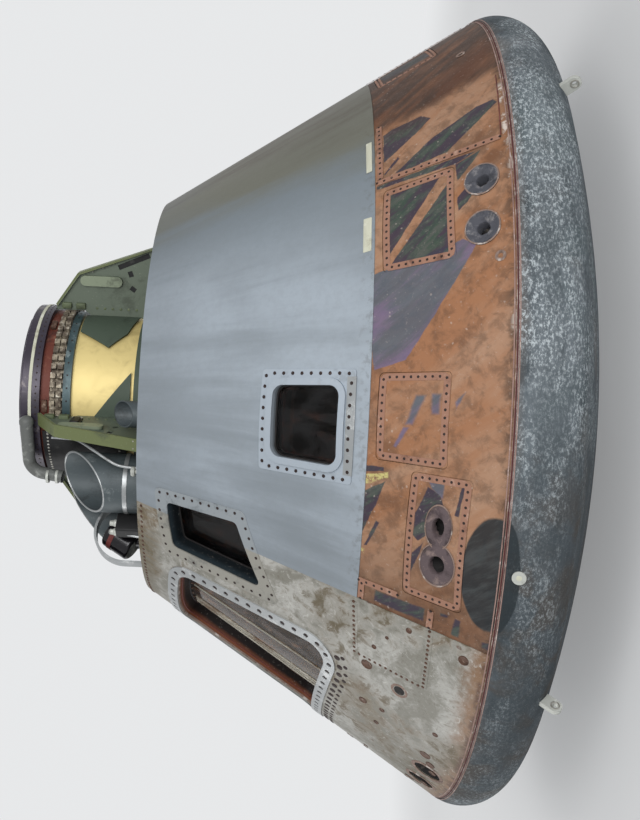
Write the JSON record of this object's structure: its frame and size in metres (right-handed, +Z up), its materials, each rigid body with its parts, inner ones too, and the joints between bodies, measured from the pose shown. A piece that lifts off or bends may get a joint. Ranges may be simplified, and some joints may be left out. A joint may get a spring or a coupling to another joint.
{
  "type": "space capsule",
  "caption": "Blunt conical crew capsule on its dished heat shield, charred, with side windows, an open hatch under a clear cover and an exposed docking tunnel.",
  "frame": {"origin": "the middle of the dished heat shield's lowest point, on the floor that the capsule stands on", "axes": "+Z up the capsule's axis to the docking ring, -Y towards the side hatch"},
  "size_m": [3.9116, 3.9116, 2.743],
  "materials": {
    "charred_ablator": "matte, charred, pale mottling",
    "scorched_ablator": "matte, scorched orange brown with dark streaks",
    "seam_seal": "matte dark red",
    "grey_sheet": "satin grey sheet, faint streaks",
    "stained_foil": "mottled silver foil with tan stains",
    "window_frame_metal": "worn bare metal",
    "hatch_frame_metal": "stained bare metal",
    "window_glass": "dark polished",
    "clear_cover": "clear polished sheet",
    "cabin_brown": "matte brown",
    "couch_fabric": "woven cover",
    "console_grey": "matte grey",
    "deck_grey": "matte dark grey green",
    "gold_film": "satin gold",
    "primer_green": "olive green primer",
    "ring_teal": "satin blue green",
    "link_cream": "worn cream",
    "band_red": "matte red brown",
    "ring_dark": "satin dark purple grey",
    "stripe_cream": "matte cream",
    "hatch_alloy": "worn bare metal",
    "can_blue_grey": "satin blue grey",
    "canister_dark": "polished dark",
    "pipe_grey": "matte grey",
    "lug_white": "worn white",
    "nozzle_dark": "charred"
  },
  "bodies": {
    "root": {"access_panels_left": "scorched_ablator", "access_panels_right": "scorched_ablator", "aft_heat_shield": "charred_ablator", "cabin_floor": "cabin_brown", "cabin_wall": "cabin_brown", "canister": "canister_dark", "canister_hoop": "primer_green", "console": "console_grey", "couches": "couch_fabric", "docking_ring": "ring_dark", "docking_ring_stripe": "stripe_cream", "forward_deck": "deck_grey", "gusset_back_left": "primer_green", "gusset_back_right": "primer_green", "gusset_hatch_left": "primer_green", "gusset_hatch_right": "primer_green", "hatch_cover": "clear_cover", "hatch_frame": "hatch_frame_metal", "hatch_side_shell": "stained_foil", "hatch_trim": "hatch_frame_metal", "lifting_lugs": "lug_white", "link_ring": "link_cream", "lower_shell_left": "scorched_ablator", "lower_shell_right": "scorched_ablator", "mortar_can_left": "can_blue_grey", "mortar_can_right": "can_blue_grey", "pilot_tube_left": "can_blue_grey", "pilot_tube_right": "can_blue_grey", "pitch_nozzles": "nozzle_dark", "rendezvous_window_frame_left": "window_frame_metal", "rendezvous_window_frame_right": "window_frame_metal", "rendezvous_window_glass_left": "window_glass", "rendezvous_window_glass_right": "window_glass", "roll_nozzles": "nozzle_dark", "seam_gasket": "seam_seal", "separation_band": "band_red", "shield_plugs": "lug_white", "side_window_frame_left": "window_frame_metal", "side_window_frame_right": "window_frame_metal", "side_window_glass_left": "window_glass", "side_window_glass_right": "window_glass", "tunnel": "gold_film", "tunnel_aprons": "primer_green", "tunnel_band": "primer_green", "tunnel_hatch": "hatch_alloy", "tunnel_ring": "ring_teal", "umbilical_plate": "window_frame_metal", "upper_shell_left": "grey_sheet", "upper_shell_right": "grey_sheet", "vent_pipe": "pipe_grey", "yaw_nozzles": "nozzle_dark"}
  },
  "joints": []
}
